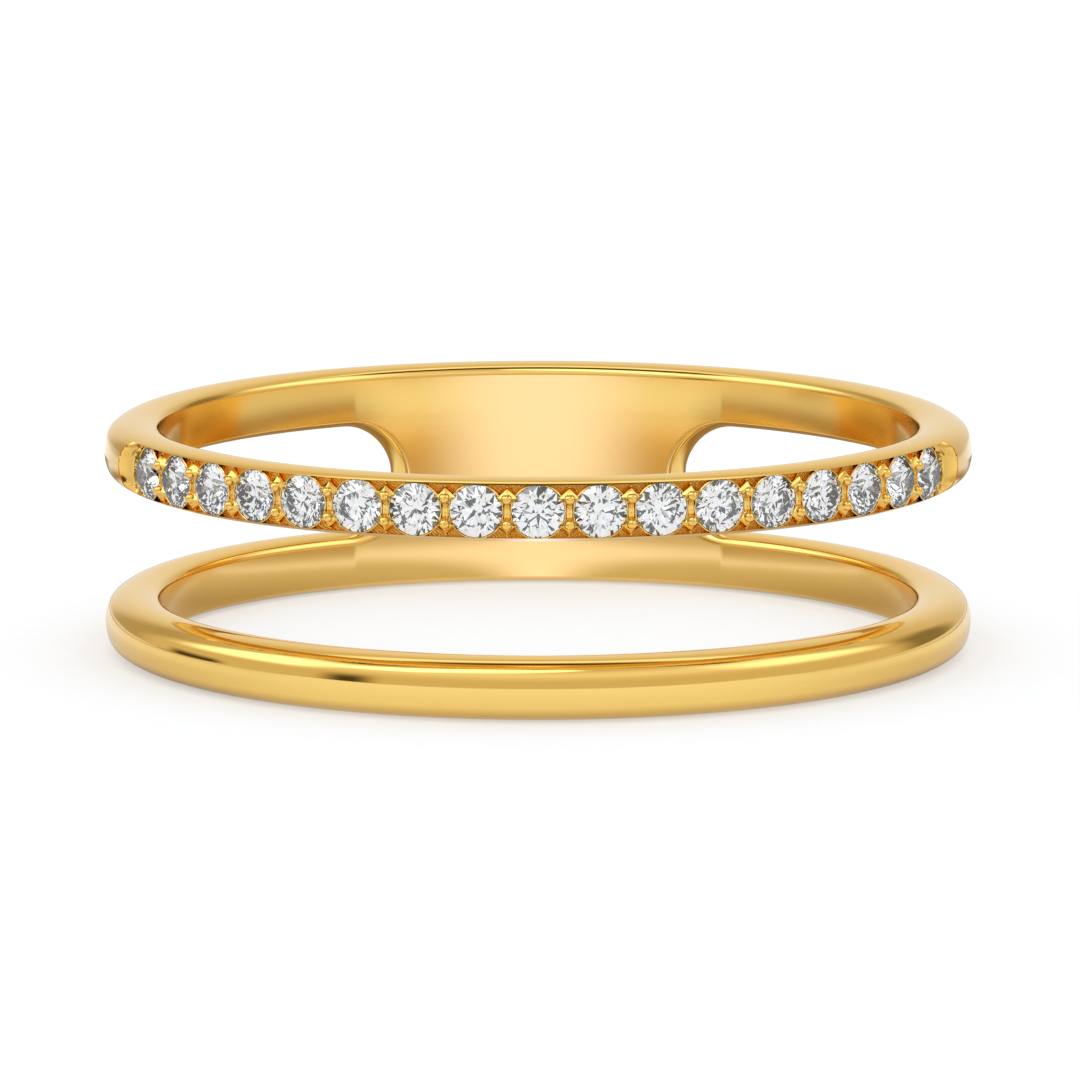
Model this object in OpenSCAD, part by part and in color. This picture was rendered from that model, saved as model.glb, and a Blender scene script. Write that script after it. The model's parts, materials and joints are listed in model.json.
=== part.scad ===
// Double ring: two bands of one casting, joined by a bridge at the back, with a row
// of small brilliant stones set in a channel along the front of the upper band.
// The finger goes through along Z, the stones face -Y and the bridge lies towards +Y.

/* [Bands] */
// Inside diameter, where the finger goes
inner_d = 17.35; // [15:0.05:20]
// Thickness of a band, from the finger wall to the crown
band_t = 1.25; // [1.22:0.01:1.3]
// Height of a band along the finger
band_h = 1.4; // [1.36:0.01:1.44]
// Clear gap between the two bands
band_gap = 2.55; // [2.2:0.05:3.2]

/* [Band section] */
// Distance of the highest line of a band's face from the finger wall
dome_s = 0.52; // [0.48:0.01:0.56]
// Radius of the domed upper and lower faces
dome_r = 0.9; // [0.85:0.01:1]
// Radius of the outer crown
crown_r = 1.1; // [1.05:0.01:1.15]
// Radius of the shoulder between face and crown
shoulder_r = 0.38; // [0.34:0.01:0.42]
// Rounding of the edges beside the finger
edge_r = 0.15; // [0.08:0.01:0.18]

/* [Bridge] */
// Thickness of the bridge, a little less than the bands
bridge_t = 1.13; // [1:0.01:1.17]
// Angle from the middle of the back to the centre of each rounded slot end
slot_end_angle = 30.6; // [26:0.2:36]

/* [Channel] */
// Angle from the middle of the front to each end of the channel
channel_angle = 74.2; // [73:0.1:78]
// Height of the channel between its two rails
channel_h = 1.16; // [1.12:0.01:1.18]
// Depth of the channel floor below the crown
channel_depth = 0.32; // [0.29:0.01:0.34]

/* [Stones] */
// Number of stones, an odd count with one in the middle
stone_count = 17; // [9:2:17]
// Angle from one stone to the next
stone_pitch = 8.05; // [7.9:0.05:8.1]
// Diameter of a stone at its girdle
stone_d = 1.15; // [1.1:0.01:1.15]
// Depth of the girdle's upper edge below the crown
stone_depth = 0.265; // [0.25:0.005:0.28]
// Width of the table, as a share of the diameter
table_share = 0.56; // [0.5:0.01:0.62]
// Slope of the large facets above the girdle, in degrees
crown_slope = 34.5; // [30:0.5:36]
// Depth below the girdle, as a share of the diameter
pavilion_share = 0.43; // [0.4:0.01:0.45]

/* [Beads] */
// Radius of the beads that hold the stones
bead_r = 0.18; // [0.15:0.01:0.2]
// Distance of a bead from the middle line of the row
bead_z = 0.285; // [0.26:0.005:0.3]
// Height of a bead's centre above the channel floor
bead_rise = 0.13; // [0.1:0.01:0.14]
// Width of the ridge that stands at each end of the row
ridge_w = 0.2; // [0.15:0.01:0.25]

/* [Hidden] */
$fn = 96;

inner_r = inner_d / 2;
outer_r = inner_r + band_t;
total_h = 2 * band_h + band_gap;
half_h = band_h / 2;
mid_z = total_h / 2;
upper_z = total_h - half_h;
past = 0.5;

// Centres of the arcs of a band's section: s runs outwards from the finger wall,
// h upwards from the middle of the band
dome_c = [dome_s, half_h - dome_r];
crown_c = [band_t - crown_r, 0];
shoulder_c = meet(dome_c, dome_r - shoulder_r, crown_c, crown_r - shoulder_r);
edge_c = [edge_r, dome_c.y + sqrt(pow(dome_r - edge_r, 2) - pow(dome_s - edge_r, 2))];

// The slot's rounded ends are cut a little wider than the gap, to run out in the bands,
// and a little outwards of the finger wall. The bridge laps past their centres and its
// inner face is set back from the bands' by a hair.
slot_margin = 0.04;
slot_shift = 0.01;
bridge_lap = 0.6;
bridge_inset = 0.02;
slot_c = half_h + band_gap / 2 + slot_margin;

floor_r = outer_r - channel_depth;
channel_end_r = 0.9;
channel_end_span = 2;
channel_end_angle = channel_angle - asin(channel_end_r / floor_r);

stone_r = stone_d / 2;
stone_span = (stone_count - 1) / 2;
girdle_radius = outer_r - stone_depth;
girdle_t = 0.034;
table_r = stone_r * table_share;
table_h = (stone_r - table_r) * tan(crown_slope);
culet_h = -girdle_t - stone_d * pavilion_share;
sides = 8;
facet = 360 / sides;
star_r = (table_r * cos(facet / 2) + stone_r) / 2;
star_h = table_h - (star_r * cos(facet / 2) - table_r) * tan(crown_slope);
lower_share = 0.24;
half_r = lower_share * stone_r;
half_h_below = culet_h + half_r * cos(facet / 2) * (-girdle_t - culet_h) / stone_r;

seat_gap = 0.012;
seat_tip_r = 0.05;
bead_post_r = 0.13;
bead_sides = 32;

// Past the last stone's middle: the beads at its far side, then the ridge they stand at
row_end = stone_span * stone_pitch;
end_bead_angle = row_end + 4;
ridge_angle = row_end + 5.1;
ridge_top = 0.12;

function stone_name(i) = str("stone_", i < 10 ? "0" : "", i);
function stone_angle(i) = (i - 1 - stone_span) * stone_pitch;
function on_circle(r, a) = [r * cos(a), r * sin(a)];

// The right-hand crossing of two circles, seen from the first centre to the second
function meet(a, ra, b, rb) =
    let (
        d = norm(b - a),
        u = (b - a) / d,
        along = (d * d + ra * ra - rb * rb) / (2 * d),
        side = sqrt(ra * ra - along * along)
    )
    a + along * u + side * [u.y, -u.x];

function direction(from, to) = atan2(to.y - from.y, to.x - from.x);

// Points of an arc from angle a to angle b, without its first point
function arc(centre, radius, a, b, steps) =
    [for (k = [1:steps]) centre + on_circle(radius, a + (b - a) * k / steps)];

// Upper half of the section: edge, domed face, shoulder and crown, as far as the apex
edge_to_face = direction(dome_c, edge_c);
face_to_shoulder = direction(dome_c, shoulder_c);
shoulder_to_crown = direction(crown_c, shoulder_c);
upper_half = concat(
    arc(edge_c, edge_r, 180, edge_to_face, 4),
    arc(dome_c, dome_r, edge_to_face, face_to_shoulder, 6),
    arc(shoulder_c, shoulder_r, face_to_shoulder, shoulder_to_crown, 5),
    arc(crown_c, crown_r, shoulder_to_crown, 0, 3)
);
half_count = len(upper_half);
wall_point = [0, edge_c.y];

// Section of a band: a flat finger wall, domed faces and a full crown
module band_section() {
    polygon(concat(
        [wall_point],
        upper_half,
        [for (k = [half_count - 2:-1:0]) [upper_half[k].x, -upper_half[k].y]],
        [[0, -wall_point.y]]
    ));
}

module band(z) {
    rotate_extrude() translate([inner_r, z]) band_section();
}

// Turns what points along Z to point outwards at an angle from the front
module facing(angle) {
    rotate([0, 90, angle - 90]) children();
}

// Cutter for one end of the slot: the bands' own section, turned about a radial axis.
// It starts its turn on the side away from the bridge.
module slot_end(side) {
    facing(180 + side * slot_end_angle) rotate(-90 * side) rotate_extrude() difference() {
        translate([0, inner_r - past]) square([slot_c, band_t + 2 * past]);
        translate([slot_c, inner_r + slot_shift]) rotate(90) band_section();
        translate([slot_c - edge_c.y, inner_r - past])
            square([edge_c.y, past + slot_shift]);
    }
}

module bridge() {
    span = slot_end_angle + bridge_lap;
    difference() {
        rotate([0, 0, 90 - span])
            rotate_extrude(angle = 2 * span)
                translate([inner_r + bridge_inset, half_h])
                    square([bridge_t - bridge_inset, total_h - band_h]);
        for (side = [-1, 1]) translate([0, 0, mid_z]) slot_end(side);
    }
}

// Channel along the front of the upper band, with gently rounded ends
module channel() {
    straight = channel_angle - channel_end_span;
    translate([0, 0, upper_z]) {
        rotate([0, 0, -90 - straight])
            rotate_extrude(angle = 2 * straight)
                translate([floor_r, -channel_h / 2]) square([past, channel_h]);
        intersection() {
            translate([0, 0, -channel_h / 2]) difference() {
                cylinder(r = outer_r + past, h = channel_h);
                translate([0, 0, -past]) cylinder(r = floor_r, h = channel_h + 2 * past);
            }
            for (side = [-1, 1])
                facing(side * channel_end_angle) cylinder(r = channel_end_r, h = outer_r + past);
        }
    }
}

module bead(angle, z) {
    translate([0, 0, upper_z + z]) facing(angle) {
        translate([0, 0, floor_r + bead_rise]) sphere(bead_r, $fn = bead_sides);
        translate([0, 0, floor_r - channel_depth]) cylinder(
            r = bead_post_r, h = channel_depth + bead_rise, $fn = bead_sides);
    }
}

// Ridge across the channel beside the last stone, whose beads hold that stone
module ridge(angle) {
    translate([0, 0, upper_z]) facing(angle)
        translate([-channel_h / 2, -ridge_w / 2, floor_r - channel_depth])
            cube([channel_h, ridge_w, channel_depth + ridge_top]);
}

module beads() {
    for (i = [1:stone_count - 1], side = [-1, 1])
        bead(stone_angle(i) + stone_pitch / 2, side * bead_z);
    for (end = [-1, 1]) {
        ridge(end * ridge_angle);
        for (side = [-1, 1]) bead(end * end_bead_angle, side * bead_z);
    }
}

// Room for one stone: its cone below the girdle, and above it the slope of its upper part
module seat(angle) {
    r = stone_r + seat_gap;
    translate([0, 0, upper_z]) facing(angle) rotate_extrude() translate([0, girdle_radius])
        polygon([
            [0, culet_h - seat_gap],
            [seat_tip_r, culet_h - seat_gap],
            [r, -girdle_t - seat_gap],
            [r, seat_gap],
            [star_r + seat_gap, star_h + seat_gap],
            [table_r, table_h + seat_gap],
            [table_r, table_h + past],
            [0, table_h + past]
        ]);
}

module shank() {
    color("gold") difference() {
        union() {
            band(half_h);
            difference() {
                band(upper_z);
                channel();
            }
            bridge();
            beads();
        }
        for (i = [1:stone_count]) seat(stone_angle(i));
    }
}

// How far a facet's plane dips at the middle of its stretch of the girdle
function scallop(slope) = stone_r * (1 - cos(facet / 4)) * slope;

upper_slope = star_h / ((stone_r - star_r) * cos(facet / 4));
lower_slope = (-girdle_t - half_h_below) / ((stone_r - half_r) * cos(facet / 4));

// Brilliant cut, as rings of points from the table down to the culet. The table, the
// stars and the lower halves have a point for each side, the girdle's edges have four.
function ring(r, h, start) =
    [for (k = [0:sides - 1]) [each on_circle(r, start + k * facet), h]];

function girdle_ring(h, slope) =
    [for (k = [0:4 * sides - 1])
        [each on_circle(stone_r, k * facet / 4), h - (k % 2) * scallop(slope)]];

stone_points = concat(
    ring(table_r, table_h, 0),
    ring(star_r, star_h, facet / 2),
    girdle_ring(0, upper_slope),
    girdle_ring(-girdle_t, -lower_slope),
    ring(half_r, half_h_below, facet / 2),
    [[0, 0, culet_h]]
);

// Number of a ring's point in the list, counted round past either end
function table_at(k) = (k + sides) % sides;
function star_at(k) = sides + (k + sides) % sides;
function upper_at(k) = 2 * sides + k % (4 * sides);
function lower_at(k) = 6 * sides + k % (4 * sides);
function half_at(k) = 10 * sides + (k + sides) % sides;
culet_at = 11 * sides;

stone_faces = concat(
    [[for (k = [sides - 1:-1:0]) table_at(k)]],
    [for (k = [0:sides - 1]) each [
        [table_at(k + 1), star_at(k), table_at(k)],
        [table_at(k), star_at(k), upper_at(4 * k), star_at(k - 1)],
        [star_at(k), upper_at(4 * k + 2), upper_at(4 * k + 1), upper_at(4 * k)],
        [star_at(k), upper_at(4 * k + 4), upper_at(4 * k + 3), upper_at(4 * k + 2)],
        [half_at(k), lower_at(4 * k), lower_at(4 * k + 1), lower_at(4 * k + 2)],
        [half_at(k), lower_at(4 * k + 2), lower_at(4 * k + 3), lower_at(4 * k + 4)],
        [culet_at, half_at(k - 1), lower_at(4 * k), half_at(k)]
    ]],
    [for (k = [0:4 * sides - 1])
        [upper_at(k), upper_at(k + 1), lower_at(k + 1), lower_at(k)]]
);

module stone(i) {
    color("white") translate([0, 0, upper_z]) facing(stone_angle(i))
        translate([0, 0, girdle_radius]) polyhedron(stone_points, stone_faces);
}

shank();
for (i = [1:stone_count])
    stone(i);
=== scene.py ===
"""The finished look of the double ring: polished gold, clear brilliants and a pale studio.

The ring is shaped in millimetres on a flat strip: X runs along the finger wall from the
middle of the bridge, Y outwards from that wall and Z along the finger. Half the strip is
made, rolled round the finger, mirrored, and brought to metres.
"""

import json
from math import acos, asin, atan2, cos, pi, radians, sin, sqrt

import bmesh
import bpy
from bpy.props import FloatProperty, FloatVectorProperty, IntProperty, PointerProperty
from mathutils import Matrix, Vector


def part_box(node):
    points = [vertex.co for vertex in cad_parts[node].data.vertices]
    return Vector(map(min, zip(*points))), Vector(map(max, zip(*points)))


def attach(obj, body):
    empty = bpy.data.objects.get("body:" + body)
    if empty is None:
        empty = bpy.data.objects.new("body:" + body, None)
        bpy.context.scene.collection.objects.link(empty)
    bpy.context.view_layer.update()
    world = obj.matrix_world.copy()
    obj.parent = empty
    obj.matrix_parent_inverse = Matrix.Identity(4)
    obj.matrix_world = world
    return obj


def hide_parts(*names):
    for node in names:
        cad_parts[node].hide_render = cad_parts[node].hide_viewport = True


bl_info = {
    "name": "Double ring finish",
    "version": (1, 0, 0),
    "blender": (4, 5, 0),
    "location": "3D View > Sidebar > Double Ring",
    "description": "Finishes the double ring: polished bands, bead-set row, stones and studio",
    "category": "Object",
}

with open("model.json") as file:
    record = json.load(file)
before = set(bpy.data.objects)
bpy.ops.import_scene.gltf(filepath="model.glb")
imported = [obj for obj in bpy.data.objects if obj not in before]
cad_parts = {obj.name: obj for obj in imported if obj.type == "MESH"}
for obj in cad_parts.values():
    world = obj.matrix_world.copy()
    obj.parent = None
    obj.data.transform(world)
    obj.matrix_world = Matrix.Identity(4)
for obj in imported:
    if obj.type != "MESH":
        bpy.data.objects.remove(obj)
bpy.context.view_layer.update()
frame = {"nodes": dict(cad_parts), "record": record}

MM = 0.001
# Columns of faces in a full turn of the ring, and the angle of one
TURN_STEPS = 360
TURN_STEP = radians(360 / TURN_STEPS)
# Radii of the roundings between the finger wall and a band's two faces, in millimetres
CRISP_EDGE, SOFT_EDGE = 0.04, 0.2
# Centre of a band's dome from the finger wall, in millimetres
DOME_OUT = 0.52
# Half the height of the stones' channel, the radius of its arched ends and the distance
# of its hidden bottom from the finger wall, in millimetres
RAIL_H, END_R, CHANNEL_BOTTOM = 0.58, 0.9, 0.4
# Height of a stone's girdle over the channel's floor, in millimetres
GIRDLE_UP = 0.13
# Places of the bed's materials in their list
BRIGHT, ENGRAVED, SEAT = range(3)
# Edges that turn more than this are drawn sharp
SHARP_ANGLE = radians(30)

# Radius of the finger hole and height of each band, in metres
BORE_RADIUS = frame["record"]["mounts"][0]["dims"]["r_mm"] * MM
BAND_HEIGHT = 0.0014

# The camera fitted to the photo: focal length in pixels, width of the photo and sensor
FOCAL_PIXELS, PHOTO_PIXELS, SENSOR_MM = 7599, 1080, 36
EYE_ELEVATION, EYE_DISTANCE = radians(9.15), 0.1744

# Lights and dark gaps of the sky as the metal mirrors them: strength, then from, to and
# softness of the height and of the direction, in degrees. Directions are counted from
# the camera's side and grow to the right.
SKY_PATCHES = (
    (0.28, 24, 62, 14, -62, 112, 10),
    (0.5, 44, 64, 5, -72, -38, 6),
    (1.3, 23, 56, 10, -116, -66, 10),
    (0.7, 26, 56, 12, 62, 114, 12),
    (-0.6, -20, 14, 7, -57, -45, 5),
    (-0.42, -20, 28, 10, 114, 142, 8),
    (-0.22, -20, 40, 12, -156, -128, 8),
    (-0.6, -20, 5, 3, -112, -92, 4),
)


def arc_meeting(a, ra, b, rb):
    """The right-hand crossing of two circles, seen from the first centre to the second."""
    between = b - a
    d = between.length
    u = between / d
    along = (d * d + ra * ra - rb * rb) / (2 * d)
    side = sqrt(ra * ra - along * along)
    return a + along * u + side * Vector((u.y, -u.x))


def heading(start, end):
    """The angle of the way from one point to another."""
    return atan2(end.y - start.y, end.x - start.x)


class Section:
    """Half the section of a band: arcs from the finger wall over the domed face to the
    crown. Points are (s, h): s outwards from the wall, h up from the band's middle."""

    def __init__(self, size, edge_radius):
        half = size.band_height / MM / 2
        thick = size.band_thickness / MM
        self.dome_r, self.shoulder_r, self.crown_r = 0.9, 0.38, 1.1
        self.dome = Vector((DOME_OUT, half - self.dome_r))
        self.crown = Vector((thick - self.crown_r, 0))
        self.shoulder = arc_meeting(self.dome, self.dome_r - self.shoulder_r,
                                    self.crown, self.crown_r - self.shoulder_r)
        reach = sqrt((self.dome_r - edge_radius) ** 2 - (self.dome.x - edge_radius) ** 2)
        self.edge = Vector((edge_radius, self.dome.y + reach))
        self.edge_end = heading(self.dome, self.edge)
        self.dome_end = heading(self.dome, self.shoulder)
        self.crown_start = heading(self.crown, self.shoulder)
        self.rail = asin((RAIL_H - self.dome.y) / self.dome_r)
        self.plate_at = acos((size.bridge_thickness / MM - self.shoulder.x) / self.shoulder_r)

    def face_at(self, h):
        """How far the outer face stands from the finger wall at a height."""
        h = abs(h)
        if h < self.crown_r * sin(self.crown_start):
            centre, r = self.crown, self.crown_r
        elif h < self.dome.y + self.dome_r * sin(self.dome_end):
            centre, r = self.shoulder, self.shoulder_r
        else:
            centre, r = self.dome, self.dome_r
        return centre.x + sqrt(r * r - (h - centre.y) ** 2)

    @property
    def plate_point(self):
        """Where the bridge's outer face meets the band, above the middle line."""
        return self.shoulder + self.shoulder_r * Vector((cos(self.plate_at), sin(self.plate_at)))


def last_vert(result):
    """The point at the end of a line that a spin has drawn."""
    return next(g for g in result["geom_last"] if isinstance(g, bmesh.types.BMVert))


def carry_round(bm, vert, centre, start, end, steps):
    """Carries a drawn line on by turning its last point about the centre of an arc."""
    return last_vert(bmesh.ops.spin(
        bm, geom=[vert], cent=(0, centre.x, centre.y), axis=(1, 0, 0),
        angle=end - start, steps=steps, use_duplicate=False))


def draw_cap(bm, section, wall_h):
    """Draws the outer line of a band, from the bridge's face over crown and dome down to
    the finger wall's other edge."""
    s = section
    low = Vector((s.shoulder.x, -s.shoulder.y))
    v = bm.verts.new((0, s.plate_point.x, -s.plate_point.y))
    v = carry_round(bm, v, low, -s.plate_at, -s.crown_start, 5)
    v = carry_round(bm, v, s.crown, -s.crown_start, s.crown_start, 12)
    v = carry_round(bm, v, s.shoulder, s.crown_start, s.dome_end, 10)
    v = carry_round(bm, v, s.dome, s.dome_end, s.rail, 3)
    v = carry_round(bm, v, s.dome, s.rail, s.edge_end, 12)
    v = carry_round(bm, v, s.edge, s.edge_end, pi, 8)
    wall = bm.verts.new((0, 0, -wall_h))
    bm.edges.new((v, wall))


def draw_rim(bm, section):
    """Draws the line of a band's face towards the slot, from the bridge's outer face."""
    s = section
    flip = Vector((1, -1))
    v = bm.verts.new((0, s.plate_point.x, -s.plate_point.y))
    v = carry_round(bm, v, s.shoulder * flip, -s.plate_at, -s.dome_end, 4)
    v = carry_round(bm, v, s.dome * flip, -s.dome_end, -s.rail, 3)
    v = carry_round(bm, v, s.dome * flip, -s.rail, -s.edge_end, 12)
    carry_round(bm, v, s.edge * flip, -s.edge_end, -pi, 6)


def everything(bm):
    """All that a mesh consists of."""
    return bm.verts[:] + bm.edges[:] + bm.faces[:]


def line_only(bm):
    """The points and edges of a drawn line."""
    return bm.verts[:] + bm.edges[:]


def pull_along(bm, geom, distance, steps):
    """Sweeps a line along the strip."""
    bmesh.ops.spin(bm, geom=geom, cent=(0, 0, 0), axis=(0, 1, 0), angle=0,
                   dvec=(distance / steps, 0, 0), steps=steps, use_duplicate=False)


def add_mesh(bm, other):
    """Adds a bmesh to another and frees it."""
    mesh = bpy.data.meshes.new("part")
    other.to_mesh(mesh)
    other.free()
    bm.from_mesh(mesh)
    bpy.data.meshes.remove(mesh)


class Strip:
    """The sizes of the flat strip, in millimetres."""

    def __init__(self, size):
        self.wall_r = size.inner_diameter / MM / 2
        self.band_h = size.band_height / MM
        self.total_h = 2 * self.band_h + size.band_gap / MM
        self.mid_z = self.total_h / 2
        self.upper_z = self.total_h - self.band_h / 2
        self.lower_z = self.band_h / 2
        self.half = pi * self.wall_r
        self.step = 2 * self.half / TURN_STEPS
        # The slot's end is an arch of three arcs
        self.arch_h = size.band_gap / MM / 2
        self.arch_start = round(size.slot_end_angle / TURN_STEP) * self.step
        self.tip_r = 1.15
        tip = size.slot_tip_angle * self.wall_r
        self.tip = Vector((tip + self.tip_r, self.mid_z))
        dx = self.arch_start - self.tip.x
        self.flank_r = (dx * dx + self.arch_h ** 2 - self.tip_r ** 2) / (
            2 * (self.arch_h - self.tip_r))
        drop = self.flank_r - self.arch_h
        self.flank_top = Vector((self.arch_start, self.mid_z - drop))
        self.flank_low = Vector((self.arch_start, self.mid_z + drop))
        self.flank_turn = atan2(dx, drop)
        self.straight = self.half - self.arch_start

    def roll(self, bm):
        """Rolls the strip round the finger. The bridge's middle comes to lie at +Y."""
        for v in bm.verts:
            turn = v.co.x / self.wall_r
            r = self.wall_r + v.co.y
            v.co = (r * sin(turn), r * cos(turn), v.co.z)
        # The mirror joins only points that lie exactly in the middle
        for v in bm.verts:
            if abs(v.co.x) < 1e-5:
                v.co.x = 0


def make_rim(strip, crisp, soft):
    """The wall of the slot: the face of the upper band, carried round the slot's end and
    on along the lower band. Its inner edge grows from crisp above to soft below."""
    bm = bmesh.new()
    draw_rim(bm, crisp)
    bmesh.ops.translate(bm, vec=(strip.arch_start, 0, strip.upper_z), verts=bm.verts)
    geom = line_only(bm)
    columns = round(strip.straight / strip.step)
    pull_along(bm, geom, strip.straight, columns)
    for centre, turn, steps in ((strip.flank_top, strip.flank_turn, 26),
                                (strip.tip, pi - 2 * strip.flank_turn, 30),
                                (strip.flank_low, strip.flank_turn, 26)):
        geom = bmesh.ops.spin(
            bm, geom=geom, cent=(centre.x, 0, centre.y), axis=(0, 1, 0), angle=-turn,
            steps=steps, use_duplicate=False)["geom_last"]
    pull_along(bm, geom, strip.straight, columns)
    bmesh.ops.remove_doubles(bm, verts=bm.verts, dist=1e-4)
    soften_lower_edge(bm, strip, crisp, soft)
    return bm


def rim_points(section):
    """The points of the rim's line, ordered by their distance from the finger wall."""
    bm = bmesh.new()
    draw_rim(bm, section)
    points = sorted((v.co.y, v.co.z) for v in bm.verts)
    bm.free()
    return points


def soften_lower_edge(bm, strip, crisp, soft):
    """Moves the rim's points from the crisp section to the soft one, by how far the
    path has turned from the upper band to the lower."""
    before, after = rim_points(crisp), rim_points(soft)
    for v in bm.verts:
        x, z = v.co.x, v.co.z
        if x > strip.arch_start - 1e-6:
            way = Vector((0, 1 if z > strip.mid_z else -1))
        else:
            away = Vector((x, z)) - strip.tip
            turn = abs(atan2(-away.x, abs(away.y)))
            centre = strip.tip
            if away.x > 0 or turn < strip.flank_turn:
                centre = strip.flank_top if z > strip.mid_z else strip.flank_low
            way = (Vector((x, z)) - centre).normalized()
        turned = acos(max(-1, min(1, way.y))) / pi
        share = turned * turned * (3 - 2 * turned)
        row = min(range(len(before)), key=lambda k: abs(before[k][0] - v.co.y))
        out = (after[row][1] - before[row][1]) * share
        v.co.y += (after[row][0] - before[row][0]) * share
        v.co.x += way.x * out
        v.co.z += way.y * out


def fill_to_middle(bm, strip, depth):
    """Fills one face of the bridge between the slot's end and the middle of the back."""
    edges = [e for e in bm.edges if e.is_boundary
             and all(abs(v.co.y - depth) < 1e-3 and v.co.x < strip.arch_start + 1e-4
                     for v in e.verts)]
    made = bmesh.ops.extrude_edge_only(bm, edges=edges)["geom"]
    far = [g for g in made if isinstance(g, bmesh.types.BMVert)]
    for v in far:
        v.co.x = 0
    rungs = {e for v in far for e in v.link_edges if any(w not in far for w in e.verts)}
    bmesh.ops.subdivide_edges(bm, edges=list(rungs),
                              cuts=round(strip.arch_start / strip.step) - 1,
                              use_grid_fill=True)


def arch_beyond(h):
    """How far the channel's arched end lies beyond its corners, at a height h."""
    return sqrt(END_R ** 2 - min(abs(h), RAIL_H) ** 2) - sqrt(END_R ** 2 - RAIL_H ** 2)


def sink_channel(bm, strip, size):
    """Sinks the channel along the front of the upper band."""
    start = strip.half - round(size.channel_angle / TURN_STEP) * strip.step
    outer_face = 0.5
    faces = []
    for f in bm.faces:
        c = f.calc_center_median()
        if c.x > start and abs(c.z - strip.upper_z) < RAIL_H and c.y > outer_face:
            faces.append(f)
    # The end is pushed out to an arch, and the columns before it make way
    reach = 8 * strip.step
    for v in bm.verts:
        h = v.co.z - strip.upper_z
        ahead = start - v.co.x
        if -0.3 * strip.step < ahead < reach and abs(h) < RAIL_H and v.co.y > outer_face:
            v.co.x -= arch_beyond(h) * (1 - ahead / reach)
    border = {e for f in faces for e in f.edges if sum(g in faces for g in e.link_faces) == 1
              and not e.is_boundary}
    made = bmesh.ops.extrude_face_region(bm, geom=faces)["geom"]
    bmesh.ops.delete(bm, geom=faces, context="FACES")
    for v in (g for g in made if isinstance(g, bmesh.types.BMVert)):
        v.co.y = CHANNEL_BOTTOM
    seam = [f for f in bm.faces if all(abs(v.co.x - strip.half) < 1e-4 for v in f.verts)]
    bmesh.ops.delete(bm, geom=seam, context="FACES")
    # The arch stays sharp, and the rails beyond it are rounded
    border = [e for e in border if e.is_valid
              and min(v.co.x for v in e.verts) > start + 2 * strip.step]
    bmesh.ops.bevel(bm, geom=border, offset=0.012, segments=3, profile=0.5,
                    affect="EDGES", material=-1)


def finish_mesh(bm, name, materials):
    """Makes a piece of a bmesh in millimetres, at its place in metres."""
    bmesh.ops.recalc_face_normals(bm, faces=bm.faces)
    bmesh.ops.scale(bm, vec=(MM, MM, MM), verts=bm.verts)
    mesh = bpy.data.meshes.new(name)
    bm.to_mesh(mesh)
    bm.free()
    mesh.polygons.foreach_set("use_smooth", [True] * len(mesh.polygons))
    mesh.set_sharp_from_angle(angle=SHARP_ANGLE)
    for material in materials:
        mesh.materials.append(material)
    piece = bpy.data.objects.new(name, mesh)
    bpy.context.collection.objects.link(piece)
    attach(piece, "root")
    return piece


def follow_large_faces(piece):
    """Shades each face by the large faces beside it, so that roundings stay narrow."""
    weight = piece.modifiers.new("Shading", "WEIGHTED_NORMAL")
    weight.mode = "FACE_AREA"
    weight.weight = 100
    weight.keep_sharp = True


class Row:
    """The row of stones: the angles of stones and gaps from the front, and the radius of
    the channel's floor."""

    def __init__(self, size):
        self.strip = Strip(size)
        self.pitch = size.stone_pitch
        last = (size.stone_count - 1) / 2
        self.stones = [(k - last) * self.pitch for k in range(size.stone_count)]
        self.gaps = [angle + self.pitch / 2 for angle in self.stones[:-1]]
        self.floor_r = self.strip.wall_r + (size.band_thickness - size.channel_depth) / MM
        self.stone_r = size.stone_diameter / MM / 2
        self.girdle_r = self.floor_r + GIRDLE_UP
        self.section = Section(size, CRISP_EDGE)
        self.corner = round(size.channel_angle / TURN_STEP) * TURN_STEP

    def face_r(self, h):
        """The radius of the upper band's outer face at a height from its middle."""
        return self.strip.wall_r + self.section.face_at(h)

    def facing(self, angle):
        """Turns local (sideways, up, outwards) to the ring, at an angle from the front."""
        return Matrix(((cos(angle), 0, sin(angle), 0),
                       (sin(angle), 0, -cos(angle), 0),
                       (0, 1, 0, self.strip.upper_z),
                       (0, 0, 0, 1)))


def add_copy(bm, part, matrix):
    """Adds a copy of a mesh to a bmesh, moved by a matrix."""
    copy = part.copy()
    copy.transform(matrix)
    bm.from_mesh(copy)
    bpy.data.meshes.remove(copy)


def as_mesh(bm):
    """Turns a bmesh into a mesh and frees it."""
    bmesh.ops.recalc_face_normals(bm, faces=bm.faces)
    mesh = bpy.data.meshes.new("part")
    bm.to_mesh(mesh)
    bm.free()
    return mesh


def draw_line(bm, points):
    """Draws a line through points (sideways, outwards) and gives its parts."""
    verts = [bm.verts.new((x, 0, z)) for x, z in points]
    return verts + [bm.edges.new(pair) for pair in zip(verts, verts[1:])]


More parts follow.
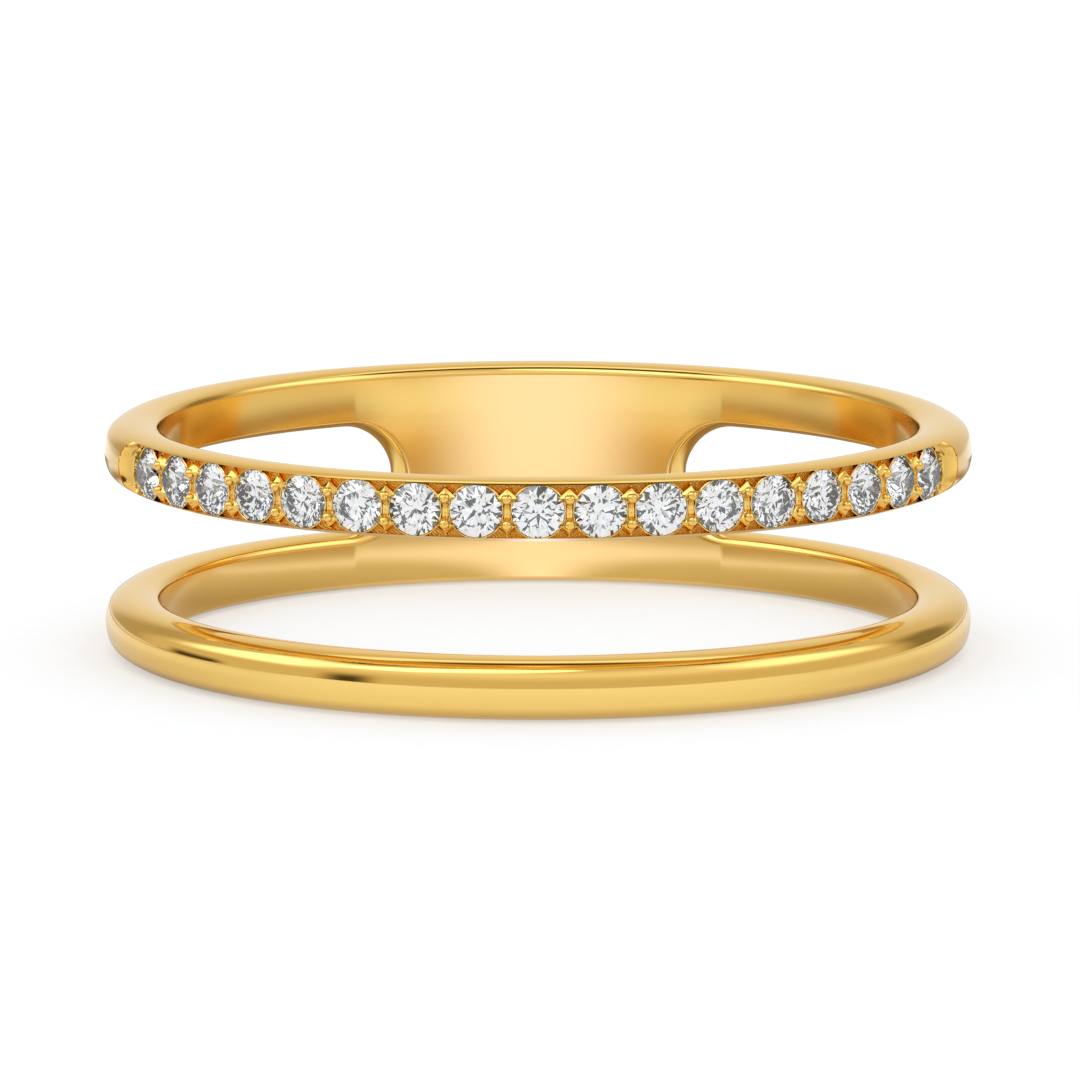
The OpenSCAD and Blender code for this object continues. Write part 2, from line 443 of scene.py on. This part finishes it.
def cut_seat(row):
    """One stone's seat: the cone under it, the thin collar round it, and the engraved
    floor on both sides as far as the middle of the gaps."""
    clearance, collar = 0.008, 0.032
    floor, girdle, r = row.floor_r, row.girdle_r, row.stone_r + clearance
    outer = r + collar
    bm = bmesh.new()
    line = draw_line(bm, [(0, girdle - 0.57), (r, girdle - 0.06), (r, girdle + 0.004),
                          (r + 0.008, girdle + 0.012), (outer - 0.012, girdle + 0.012),
                          (outer - 0.002, girdle), (outer, floor)])
    bmesh.ops.spin(bm, geom=line, cent=(0, 0, 0), axis=(0, 0, 1), angle=2 * pi, steps=48,
                   use_merge=True, use_duplicate=False)
    bmesh.ops.remove_doubles(bm, verts=bm.verts, dist=1e-5)
    for f in bm.faces:
        f.material_index = SEAT if f.calc_center_median().xy.length < r - 0.001 else BRIGHT
    rim = [e for e in bm.edges if e.is_boundary]
    for v in {v for e in rim for v in e.verts}:
        v.co.z = sqrt(floor * floor - v.co.x ** 2)
    for v in bm.verts:
        v.co.z = min(v.co.z, row.face_r(v.co.y) - clearance)
    sides = [e for e in rim if all(abs(v.co.y) < RAIL_H + 0.03 for v in e.verts)]
    for g in bmesh.ops.extrude_edge_only(bm, edges=sides)["geom"]:
        if isinstance(g, bmesh.types.BMVert):
            way = 1 if g.co.x > 0 else -1
            g.co.x = way * floor * sin(row.pitch / 2)
            g.co.z = floor * cos(row.pitch / 2)
        elif isinstance(g, bmesh.types.BMFace):
            g.material_index = ENGRAVED
    return as_mesh(bm)


def add_ball(bm, steps, size, place):
    """Adds a bead, stretched to its size."""
    ball = bmesh.ops.create_uvsphere(bm, u_segments=steps, v_segments=steps // 2,
                                     radius=1)["verts"]
    bmesh.ops.scale(bm, vec=size, verts=ball)
    bmesh.ops.translate(bm, vec=place, verts=ball)


def bevel_all(bm, verts):
    """Rounds every edge of a cut form a little."""
    bmesh.ops.bevel(bm, geom=list({e for v in verts for e in v.link_edges}), offset=0.014,
                    segments=2, profile=0.5, affect="EDGES", material=-1)


def cut_bead_pair(row):
    """The metal left between two stones: two kites with their beads, the neck between
    them and the tiny dots of the graver."""
    floor, girdle = row.floor_r, row.girdle_r
    half_w, outer_h, inner_h = 0.34, 0.28, 0.26
    tiers = ((1, 0.74, floor - 0.03, girdle + 0.03), (0.78, 0.3, girdle + 0.01, girdle + 0.13))
    bm = bmesh.new()
    for way in (1, -1):
        for wide, narrow, low, high in tiers:
            kite = bmesh.ops.create_cone(bm, cap_ends=True, segments=4, radius1=wide,
                                         radius2=narrow, depth=high - low)["verts"]
            for v in kite:
                v.co.x *= half_w
                v.co.y = way * 0.3 + v.co.y * (outer_h if v.co.y * way > 0 else inner_h)
                v.co.z += (low + high) / 2
            bevel_all(bm, kite)
        add_ball(bm, 20, (0.135, 0.12, 0.14), (0, way * 0.28, girdle + 0.06))
        add_ball(bm, 12, (0.038, 0.038, 0.036), (0, way * 0.28, girdle + 0.195))
        add_ball(bm, 8, (0.03, 0.03, 0.04), (0, way * 0.53, floor + 0.06))
    neck = bmesh.ops.create_cube(bm, size=1)["verts"]
    bmesh.ops.scale(bm, vec=(0.13, 0.34, girdle - floor + 0.06), verts=neck)
    bmesh.ops.translate(bm, vec=(0, 0, (girdle + floor) / 2 - 0.02), verts=neck)
    bevel_all(bm, neck)
    for up in (0.1, -0.05):
        add_ball(bm, 8, (0.024, 0.024, 0.024), (0, up, girdle + 0.008))
    return as_mesh(bm)


def cut_end_ridge(row):
    """The arc of metal beyond the last stone, with the two small beads that hold it."""
    low, top, r = row.floor_r - 0.02, row.girdle_r + 0.13, row.stone_r + 0.03
    bm = bmesh.new()
    line = draw_line(bm, [(r, low), (r, top - 0.02), (r + 0.012, top), (r + 0.05, top),
                          (r + 0.075, top - 0.03), (r + 0.1, low)])
    line.append(bm.edges.new((line[5], line[0])))
    bmesh.ops.rotate(bm, verts=bm.verts, cent=(0, 0, 0),
                     matrix=Matrix.Rotation(radians(-50), 3, "Z"))
    bmesh.ops.spin(bm, geom=line, cent=(0, 0, 0), axis=(0, 0, 1), angle=radians(100),
                   steps=32, use_duplicate=False)
    bmesh.ops.holes_fill(bm, edges=[e for e in bm.edges if e.is_boundary], sides=6)
    for turn, size in ((38, (0.1, 0.09, 0.07)), (-36, (0.075, 0.07, 0.06))):
        place = (r + 0.04) * Vector((cos(radians(turn)), sin(radians(turn))))
        add_ball(bm, 16, size, (place.x, place.y, top))
    for v in bm.verts:
        face = row.face_r(v.co.y) - 0.012
        v.co.z = min(v.co.z, sqrt(face * face - v.co.x ** 2))
    return as_mesh(bm)


def make_pocket(row, way):
    """The bare scoop between the last gap and the channel's arched end."""
    bm = bmesh.new()
    overlap = 0.008
    ends = [bm.verts.new((0, h, row.floor_r)) for h in (-RAIL_H - overlap, RAIL_H + overlap)]
    bmesh.ops.subdivide_edges(bm, edges=[bm.edges.new(ends)], cuts=19)
    start = row.stones[-1] + row.pitch / 2
    bmesh.ops.spin(bm, geom=line_only(bm), cent=(0, 0, 0), axis=(0, 1, 0),
                   angle=way, steps=24, use_duplicate=False)
    for v in bm.verts:
        share = atan2(way * v.co.x, v.co.z)
        end = row.corner + (arch_beyond(v.co.y) + overlap) / row.strip.wall_r
        angle = start + share * (end - start)
        face = row.face_r(v.co.y) - 0.01
        r = row.floor_r + (face - row.floor_r) * share ** 2.2
        v.co.x, v.co.z = way * r * sin(angle), r * cos(angle)
    return as_mesh(bm)


class NodeValue:
    """A socket that takes part in Python expressions, each of which adds its Math node."""

    def __init__(self, maker, socket):
        self.maker, self.socket = maker, socket

    def math(self, operation, *values, clamp=False):
        return self.maker.node("ShaderNodeMath", {"operation": operation, "use_clamp": clamp},
                               dict(enumerate((self, *values))))

    def __add__(self, other):
        return self.math("ADD", other)

    def __sub__(self, other):
        return self.math("SUBTRACT", other)

    def __rsub__(self, other):
        return (self * -1) + other

    def __mul__(self, other):
        return self.math("MULTIPLY", other)

    def __pow__(self, other):
        return self.math("POWER", other)

    __radd__, __rmul__ = __add__, __mul__

    def clamped(self):
        """The value, held between 0 and 1."""
        return self.math("ADD", 0, clamp=True)

    def outputs(self, *names):
        """Other outputs of the same node, by name or number."""
        return [NodeValue(self.maker, self.socket.node.outputs[name]) for name in names]

    def rise(self, low, high):
        """A smooth step from 0 at low to 1 at high."""
        return self.maker.node("ShaderNodeMapRange", {"interpolation_type": "SMOOTHSTEP"},
                               {"Value": self, "From Min": low, "From Max": high})

    def between(self, low, high, soft):
        """1 between low and high, with soft edges."""
        return self.rise(low - soft, low + soft) * (1 - self.rise(high - soft, high + soft))


class Nodes:
    """The node tree of a material or world, whose nodes all come from one method."""

    def __init__(self, owner):
        self.owner = owner
        owner.use_nodes = True
        self.tree = owner.node_tree
        self.tree.nodes.clear()

    def node(self, kind, settings=None, inputs=None, output=0):
        """Adds a node with its settings and inputs, and gives one of its outputs."""
        n = self.tree.nodes.new(kind)
        for name, value in (settings or {}).items():
            setattr(n, name, value)
        for name, value in (inputs or {}).items():
            if isinstance(value, NodeValue):
                self.tree.links.new(value.socket, n.inputs[name])
            else:
                n.inputs[name].default_value = value
        return NodeValue(self, n.outputs[output]) if n.outputs else None

    def colour_mix(self, share, first, second):
        """A colour between two, by a share from 0 to 1."""
        return self.node("ShaderNodeMix", {"data_type": "RGBA"},
                         {0: share, 6: first, 7: second}, output=2)

    def shader_mix(self, share, first, second):
        """A shader between two, by a share from 0 to 1."""
        return self.node("ShaderNodeMixShader", {}, {0: share, 1: first, 2: second})

    def axes(self, place):
        """The three axes of a vector."""
        return self.node("ShaderNodeSeparateXYZ", {}, {"Vector": place}).outputs(0, 1, 2)

    def noise(self, place, scale, detail):
        """Soft random patches, from 0 to 1."""
        return self.node("ShaderNodeTexNoise", {}, {
            "Vector": place, "Scale": scale, "Detail": detail})

    def bump(self, strength, distance, height):
        """A normal that leans with a height."""
        return self.node("ShaderNodeBump", {}, {
            "Strength": strength, "Distance": distance, "Height": height})

    def surface(self, shader, kind="ShaderNodeOutputMaterial"):
        """Shows a shader on the material or world."""
        self.node(kind, {}, {"Surface": shader})

    def metal(self, share, dark, light, roughness, **more):
        """Shows metal, its colour between a dark and a light one, and gives the material."""
        self.surface(self.node("ShaderNodeBsdfPrincipled", {}, {
            "Base Color": self.colour_mix(share, dark, light), "Metallic": 1.0,
            "Roughness": roughness, **more}))
        return self.owner


def new_material(name):
    """Adds a material or empties the one there is. Gives its nodes and the place on the
    piece."""
    m = Nodes(bpy.data.materials.get(name) or bpy.data.materials.new(name))
    return m, m.node("ShaderNodeTexCoord", output="Object")


def gold_tint(red, green, blue):
    """The gold's colour with each channel times its factor."""
    gold = bpy.context.scene.ring_colours.gold
    return (gold[0] * red, gold[1] * green, gold[2] * blue, 1)


def ring_lines(m, place):
    """Lines that run round the ring, as a wheel leaves them, and the haze between them."""
    x, y, z = m.axes(place)
    radius = (x * x + y * y) ** 0.5
    lines = m.node("ShaderNodeTexNoise", {}, {
        "Vector": m.node("ShaderNodeCombineXYZ", {}, {
            "X": radius * 9e4, "Y": z * 9e4, "Z": y.math("ARCTAN2", x) * 6}),
        "Scale": 1.0, "Detail": 2.0})
    return lines, m.noise(place, 700.0, 3.0)


def polished_gold():
    """Gold with a wheel polish."""
    m, place = new_material("polished_gold")
    lines, haze = ring_lines(m, place)
    return m.metal(haze, gold_tint(0.985, 0.985, 0.985), gold_tint(1, 1, 1),
                   haze * 0.03 + lines * 0.015 + 0.035, Normal=m.bump(0.25, 4e-7, lines))


def satin_gold():
    """The finger wall, with a satin finish that runs round the ring."""
    m, place = new_material("satin_gold")
    lines, haze = ring_lines(m, place)
    return m.metal(haze, gold_tint(0.98, 0.98, 0.98), gold_tint(1, 1, 1),
                   haze * 0.04 + lines * 0.03 + 0.11, Normal=m.bump(0.3, 6e-7, lines))


def bright_cut_gold():
    """Gold cut bright by a graver, as on the beads and collars."""
    m, place = new_material("bright_cut_gold")
    ripple = m.noise(place, 9000.0, 2.0)
    return m.metal(ripple, gold_tint(0.9, 0.84, 0.7), gold_tint(0.99, 0.95, 0.86),
                   ripple * 0.05 + 0.04, Normal=m.bump(0.3, 4e-6, ripple))


def engraved_gold_painted_shade():
    """The floor between the stones, hatched with fine strokes, its colour darker and more orange
    than the polished gold: painted shade of the recess.
    """
    m, place = new_material("engraved_gold_painted_shade")
    strokes = m.node("ShaderNodeTexWave", {"bands_direction": "DIAGONAL"}, {
        "Vector": place, "Scale": 9000.0, "Distortion": 3.0, "Detail": 2.0,
        "Detail Scale": 2.0})
    grain = m.noise(place, 26000.0, 3.0)
    # The darker, more orange tints are painted shade of the recess; the strokes and grain are
    # bumps
    return m.metal(grain, gold_tint(0.9, 0.78, 0.62), gold_tint(1, 0.93, 0.85),
                   grain * 0.2 + 0.22, Normal=m.bump(1.0, 3e-5, strokes * 0.6 + grain * 0.6))


def seat_painted_light_and_shade():
    """The drilled cone under a stone, in near-black and bright patches: painted shade and
    painted light, which the stones show through their facets.
    """
    m, place = new_material("seat_painted_light_and_shade")
    # Near-black and near-white metal patches are painted shade and light, seen through the
    # stones
    grain = m.noise(place, 9000.0, 2.0).rise(0.36, 0.6)
    return m.metal(grain, (0.04, 0.04, 0.04, 1), (0.95, 0.94, 0.92, 1), grain * 0.2 + 0.25)


def clear_stone():
    """A colourless brilliant, with faint tints painted from place to place that stand in for its
    fire: painted light.
    """
    m, place = new_material("clear_brilliant")
    # Faint random tints are painted light, standing in for the stone's fire
    spots = m.node("ShaderNodeTexVoronoi", {}, {"Vector": place, "Scale": 5200.0},
                   output="Color")
    m.surface(m.node("ShaderNodeBsdfPrincipled", {}, {
        "Base Color": m.colour_mix(0.035, (1, 1, 1, 1), spots), "Roughness": 0.0,
        "IOR": 2.417, "Transmission Weight": 1.0}))
    return m.owner


def painted_mirror_shade(m, x, y):
    """How much painted shade the metal's mirror rays see at each place of the floor, and where
    they see a painted glow. Distances are from the finger's axis, directions in degrees from the
    camera's side."""
    far = (x * x + y * y) ** 0.5
    across = x.math("ARCTAN2", y * -1).math("ABSOLUTE") * (180 / pi)
    # Mirror rays from inside the ring have crossed it, those from outside are short
    crossed = m.node("ShaderNodeLightPath", output="Ray Length").rise(0.014, 0.018)
    # Painted shade: the room's shade far off, and what the inside of the bands mirrors
    near = 1 - 0.7 * far.rise(0.0205, 0.0285)
    shaded = far.rise(0.045, 0.16) * 0.25 + crossed * (
        far.rise(0.0135, 0.0165) * near * across.between(62, 146, 10))
    # Painted shade beside the ring, for the outer faces near the floor
    beside = 0.14 + 0.2 * (1 - far.rise(0.0102, 0.0132))
    shaded = shaded + (1 - crossed) * beside * across.between(48, 146, 24)
    # Painted shade: the dark horizon at the left, and the shade behind at both sides
    left = 1 - x.rise(-0.02, -0.01)
    shaded = shaded + left * far.rise(0.032, 0.06) * across.between(92, 112, 4)
    shaded = shaded + far.between(0.0105, 0.032, 0.001) * across.between(145, 174, 6)
    shaded = shaded + far.rise(0.05, 0.09) * across.between(128, 166, 10) * 0.22
    # Painted glow and painted shade: the finger hole is bright in its middle, and the line of
    # contact is dark
    hole = 1 - far.rise(0.0078, 0.009)
    middle = 1 - x.math("ABSOLUTE").rise(0, 0.0014)
    shaded = shaded + hole * (1 - middle) * 0.4 + far.between(0.0091, 0.0099, 0.0004) * 0.3
    return shaded.clamped() * 0.95, hole * middle


def floor_paper():
    """White paper, which the metal mirrors with painted shade and a painted glow on it, standing
    in for the room's shade and light.
    """
    m, place = new_material("floor_paper")
    x, y, _ = m.axes(place)
    mirrored = m.node("ShaderNodeLightPath", output="Is Glossy Ray")
    shaded, painted_glow_share = painted_mirror_shade(m, x, y)
    grain = m.node("ShaderNodeTexNoise", {}, {"Vector": place, "Scale": 1500.0})
    paper = m.node("ShaderNodeBsdfPrincipled", {}, {
        "Base Color": m.colour_mix(grain, (0.5, 0.515, 0.535, 1), (0.53, 0.545, 0.565, 1)),
        "Roughness": 0.9, "Specular IOR Level": 0.0,
        "Emission Color": (1, 1, 1, 1), "Emission Strength": 0.46})
    # A painted glow and painted shade, which only the metal's mirror rays see
    glow = m.node("ShaderNodeEmission", {}, {"Color": (1, 1.0, 1.5, 1), "Strength": 1.25})
    shade = m.node("ShaderNodeBsdfDiffuse", {}, {"Color": (0.32, 0.2, 0.07, 1)})
    m.surface(m.shader_mix(mirrored * shaded, m.shader_mix(mirrored * painted_glow_share, paper, glow),
                           shade))
    return m.owner


def fill_light():
    """The soft glow of the card in the finger hole, brightest in its middle, towards the
    bridge only."""
    m, place = new_material("fill_light")
    share = 1 - m.axes(place)[0].math("ABSOLUTE").rise(0.001, 0.007)
    share = share * m.node("ShaderNodeNewGeometry", output="Backfacing")
    glow = m.node("ShaderNodeEmission", {}, {"Color": (1, 1.03, 1.65, 1), "Strength": 1.2})
    m.surface(m.shader_mix(share, m.node("ShaderNodeBsdfTransparent"), glow))
    return m.owner


def stage_object(context, bm, name, material):
    """Makes an object of a bmesh in metres and frees the bmesh."""
    mesh = bpy.data.meshes.new(name)
    bm.to_mesh(mesh)
    bm.free()
    mesh.materials.append(material)
    made = bpy.data.objects.new(name, mesh)
    context.collection.objects.link(made)
    return made


def add_fill_card(context):
    """Stands a small card in the finger hole, as photographers do to lighten the finger
    wall. Only polished metal and stones mirror it, and the camera doesn't see it."""
    bm = bmesh.new()
    bmesh.ops.create_grid(bm, x_segments=1, y_segments=1, size=1)
    bmesh.ops.rotate(bm, verts=bm.verts, cent=(0, 0, 0), matrix=Matrix.Rotation(pi / 2, 3, "X"))
    bmesh.ops.scale(bm, vec=(0.0072, 1, 0.0026), verts=bm.verts)
    bmesh.ops.translate(bm, vec=(0, -0.004, 0.0027), verts=bm.verts)
    card = stage_object(context, bm, "fill_card", fill_light())
    card.visible_camera = card.visible_diffuse = card.visible_shadow = False
    card.visible_transmission = False


def add_floor(context):
    """Lays the paper on which the ring lies."""
    bm = bmesh.new()
    bmesh.ops.create_grid(bm, x_segments=1, y_segments=1, size=2.0)
    floor = stage_object(context, bm, "floor", floor_paper())


def mirrored_light(up, across, towards_back):
    """How bright the metal mirrors each direction of the sky."""
    light = 0.66
    for strength, low, high, soft, left, right, blur in SKY_PATCHES:
        light = light + strength * up.between(low, high, soft) * across.between(
            left, right, blur)
    # The large light over the front lies aslant, and two faint ones are at the back
    behind = across.math("ABSOLUTE")
    light = light + 1.45 * (up - across * 0.38).rise(60, 70) * (
        across.between(-63, 38, 8) * (1 - up.rise(80, 88)))
    light = light + 0.19 * up.between(-5, 42, 8) * behind.rise(150, 175)
    light = light + 0.6 * up.between(53, 62, 3) * behind.rise(120, 160)
    # The room is dark high up behind the ring
    return light * (1 - 0.92 * up.rise(58, 66) * towards_back.rise(-0.03, 0.1))


def studio_sky(world):
    """What the gold and the stones mirror: a warm grey room with a large soft light over
    the front, softer ones at both sides, and dark gaps between them. Everything else is
    lit by even white."""
    m = Nodes(world)
    world.cycles.sampling_method = "NONE"
    way = m.node("ShaderNodeTexCoord", output="Generated")
    x, y, z = m.axes(way)
    up = z.math("ARCSINE") * (180 / pi)
    # Degrees from the camera's side, growing to the right
    across = x.math("ARCTAN2", y * -1) * (180 / pi)
    light = mirrored_light(up, across, y)
    warm = m.colour_mix(light.rise(0.3, 1.2), (1.12, 0.93, 0.6, 1), (1, 1, 1, 1))
    eye, matt, clear = m.node("ShaderNodeLightPath").outputs(
        "Is Camera Ray", "Is Diffuse Ray", "Is Transmission Ray")
    # The stones look through to many small lamps and gaps
    spots = m.noise(way, 7.5, 2.0)
    fire = m.node("ShaderNodeTexVoronoi", {}, {"Vector": way, "Scale": 5.0}, output="Color")
    colour = m.colour_mix(clear, warm, m.colour_mix(0.12, (0.97, 0.99, 1.0, 1), fire))
    sparkle = 1.25 * spots.rise(0.465, 0.51)
    strength = light * (1 - clear) + (0.5 + light * 0.55) * sparkle * clear
    seen = m.node("ShaderNodeBackground", {}, {"Color": colour, "Strength": strength})
    even = m.node("ShaderNodeBackground", {}, {"Color": (1, 1, 1, 1), "Strength": 1.1})
    m.surface(m.shader_mix((eye + matt).clamped(), seen, even), "ShaderNodeOutputWorld")


def add_camera(context):
    """Stands the camera where the photo's was, as fitted to the photo's outlines."""
    camera = bpy.data.cameras.new("camera")
    eye = bpy.data.objects.new("camera", camera)
    context.collection.objects.link(eye)
    camera.lens, camera.sensor_width = FOCAL_PIXELS / PHOTO_PIXELS * SENSOR_MM, SENSOR_MM
    camera.clip_start, camera.clip_end = 0.01, 10
    middle = Vector((0, 0, 0.00267))
    eye.location = middle + EYE_DISTANCE * Vector((0, -cos(EYE_ELEVATION), sin(EYE_ELEVATION)))
    aim = middle + Vector((0.00004, 0, -0.00020))
    eye.rotation_euler = (aim - eye.location).to_track_quat("-Z", "Y").to_euler()
    return eye


class RingSizes(bpy.types.PropertyGroup):
    inner_diameter: FloatProperty(
        name="Inside diameter", description="Width of the finger hole",
        default=2 * BORE_RADIUS, unit="LENGTH")
    band_thickness: FloatProperty(
        name="Band thickness", description="From the finger wall to the crown",
        default=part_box("shank")[1].x - BORE_RADIUS, unit="LENGTH")
    channel_depth: FloatProperty(
        name="Channel depth", description="From the crown to the floor between the stones",
        default=0.0004, unit="LENGTH")
    stone_diameter: FloatProperty(
        name="Stone diameter", description="Width of each stone",
        default=0.00115, unit="LENGTH")
    band_height: FloatProperty(
        name="Band height", description="Height of each band along the finger",
        default=BAND_HEIGHT, unit="LENGTH")
    band_gap: FloatProperty(
        name="Gap", description="Clear gap between the two bands",
        default=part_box("shank")[1].z - 2 * BAND_HEIGHT, unit="LENGTH")
    bridge_thickness: FloatProperty(
        name="Bridge thickness", description="Thickness of the bridge at the back",
        default=0.00113, unit="LENGTH")
    slot_tip_angle: FloatProperty(
        name="Slot tip", description="Angle from the middle of the back to the slot's tip",
        default=radians(22.3), unit="ROTATION")
    slot_end_angle: FloatProperty(
        name="Slot shoulder", description="Angle at which the slot has its full height",
        default=radians(31), unit="ROTATION")
    channel_angle: FloatProperty(
        name="Channel", description="Angle from the front to the corner of the channel",
        default=radians(71), unit="ROTATION")
    stone_pitch: FloatProperty(
        name="Stone pitch", description="Angle from one stone to the next",
        default=radians(8.05), unit="ROTATION")
    stone_count: IntProperty(
        name="Stones", description="Number of stones in the row",
        default=sum(n.startswith("stone_") for n in frame["nodes"]))


class RingColours(bpy.types.PropertyGroup):
    gold: FloatVectorProperty(
        name="Gold", description="Colour of the polished gold", subtype="COLOR",
        default=(0.94, 0.645, 0.195), min=0, max=1)


class RING_OT_shank(bpy.types.Operator):
    """Shape the two bands with their bridge and the channel for the stones"""
    bl_idname = "double_ring.shank"
    bl_label = "Bands and bridge"

    def execute(self, context):
        size = context.scene.ring_sizes
        strip = Strip(size)
        crisp, soft = Section(size, CRISP_EDGE), Section(size, SOFT_EDGE)
        bm = make_rim(strip, crisp, soft)
        fill_to_middle(bm, strip, 0)
        fill_to_middle(bm, strip, size.bridge_thickness / MM)
        for section, wall_h, z, up in ((soft, crisp.edge.y, strip.upper_z, 1),
                                       (crisp, soft.edge.y, strip.lower_z, -1)):
            cap = bmesh.new()
            draw_cap(cap, section, wall_h)
            bmesh.ops.scale(cap, vec=(1, 1, up), verts=cap.verts)
            bmesh.ops.translate(cap, vec=(0, 0, z), verts=cap.verts)
            pull_along(cap, line_only(cap), strip.half, TURN_STEPS // 2)
            add_mesh(bm, cap)
        bmesh.ops.remove_doubles(bm, verts=bm.verts, dist=2e-4)
        sink_channel(bm, strip, size)
        strip.roll(bm)
        bmesh.ops.mirror(bm, geom=everything(bm), axis="X", merge_dist=1e-4)
        for f in bm.faces:
            if f.calc_center_median().xy.length < strip.wall_r + 0.03:
                f.material_index = 1
        piece = finish_mesh(bm, "ring_shank", [polished_gold(), satin_gold()])
        follow_large_faces(piece)
        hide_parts("shank")
        return {"FINISHED"}


class RING_OT_bed(bpy.types.Operator):
    """Cut the seats, the collars and the engraved floor under the row of stones"""
    bl_idname = "double_ring.bed"
    bl_label = "Bed of the stones"

    def execute(self, context):
        row = Row(context.scene.ring_sizes)
        bm = bmesh.new()
        seat = cut_seat(row)
        for angle in row.stones:
            add_copy(bm, seat, row.facing(angle))
        for way in (1, -1):
            add_copy(bm, make_pocket(row, way), row.facing(0))
        bmesh.ops.remove_doubles(bm, verts=bm.verts, dist=2e-4)
        piece = finish_mesh(bm, "ring_bed",
                            [bright_cut_gold(), engraved_gold_painted_shade(), seat_painted_light_and_shade()])
        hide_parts("shank")
        return {"FINISHED"}


class RING_OT_beads(bpy.types.Operator):
    """Cut the beads, kites and ridges that hold the stones"""
    bl_idname = "double_ring.beads"
    bl_label = "Beads"

    def execute(self, context):
        row = Row(context.scene.ring_sizes)
        bm = bmesh.new()
        pair = cut_bead_pair(row)
        for angle in row.gaps:
            add_copy(bm, pair, row.facing(angle))
        ridge = cut_end_ridge(row)
        add_copy(bm, ridge, row.facing(row.stones[-1]))
        add_copy(bm, ridge, row.facing(row.stones[0]) @ Matrix.Diagonal((-1, 1, 1, 1)))
        piece = finish_mesh(bm, "ring_beads", [bright_cut_gold()])
        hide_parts("shank")
        return {"FINISHED"}


class RING_OT_stones(bpy.types.Operator):
    """Give the seventeen brilliants their clear, faceted finish"""
    bl_idname = "double_ring.stones"
    bl_label = "Stones"

    def execute(self, context):
        material = clear_stone()
        for name, node in frame["nodes"].items():
            if name.startswith("stone_"):
                node.data.materials.clear()
                node.data.materials.append(material)
        return {"FINISHED"}


class RING_OT_studio(bpy.types.Operator):
    """Set up the pale floor, the soft lights and the camera"""
    bl_idname = "double_ring.studio"
    bl_label = "Studio"

    def execute(self, context):
        scene = context.scene
        add_floor(context)
        add_fill_card(context)
        world = bpy.data.worlds.new("studio")
        scene.world = world
        studio_sky(world)
        scene.camera = add_camera(context)
        scene.view_settings.view_transform = "Standard"
        return {"FINISHED"}


class RING_PT_panel(bpy.types.Panel):
    bl_idname = "RING_PT_panel"
    bl_label = "Double Ring"
    bl_space_type = "VIEW_3D"
    bl_region_type = "UI"
    bl_category = "Double Ring"

    def draw(self, context):
        for operator in OPERATORS:
            self.layout.operator(operator.bl_idname)


OPERATORS = (RING_OT_shank, RING_OT_bed, RING_OT_beads, RING_OT_stones, RING_OT_studio)
CLASSES = (RingSizes, RingColours, *OPERATORS, RING_PT_panel)


def register():
    for cls in CLASSES:
        bpy.utils.register_class(cls)
    bpy.types.Scene.ring_sizes = PointerProperty(type=RingSizes)
    bpy.types.Scene.ring_colours = PointerProperty(type=RingColours)


def unregister():
    del bpy.types.Scene.ring_colours
    del bpy.types.Scene.ring_sizes
    for cls in reversed(CLASSES):
        bpy.utils.unregister_class(cls)


def main():
    register()
    bpy.ops.double_ring.shank()
    bpy.ops.double_ring.bed()
    bpy.ops.double_ring.beads()
    bpy.ops.double_ring.stones()
    bpy.ops.double_ring.studio()


if __name__ == "__main__":
    main()
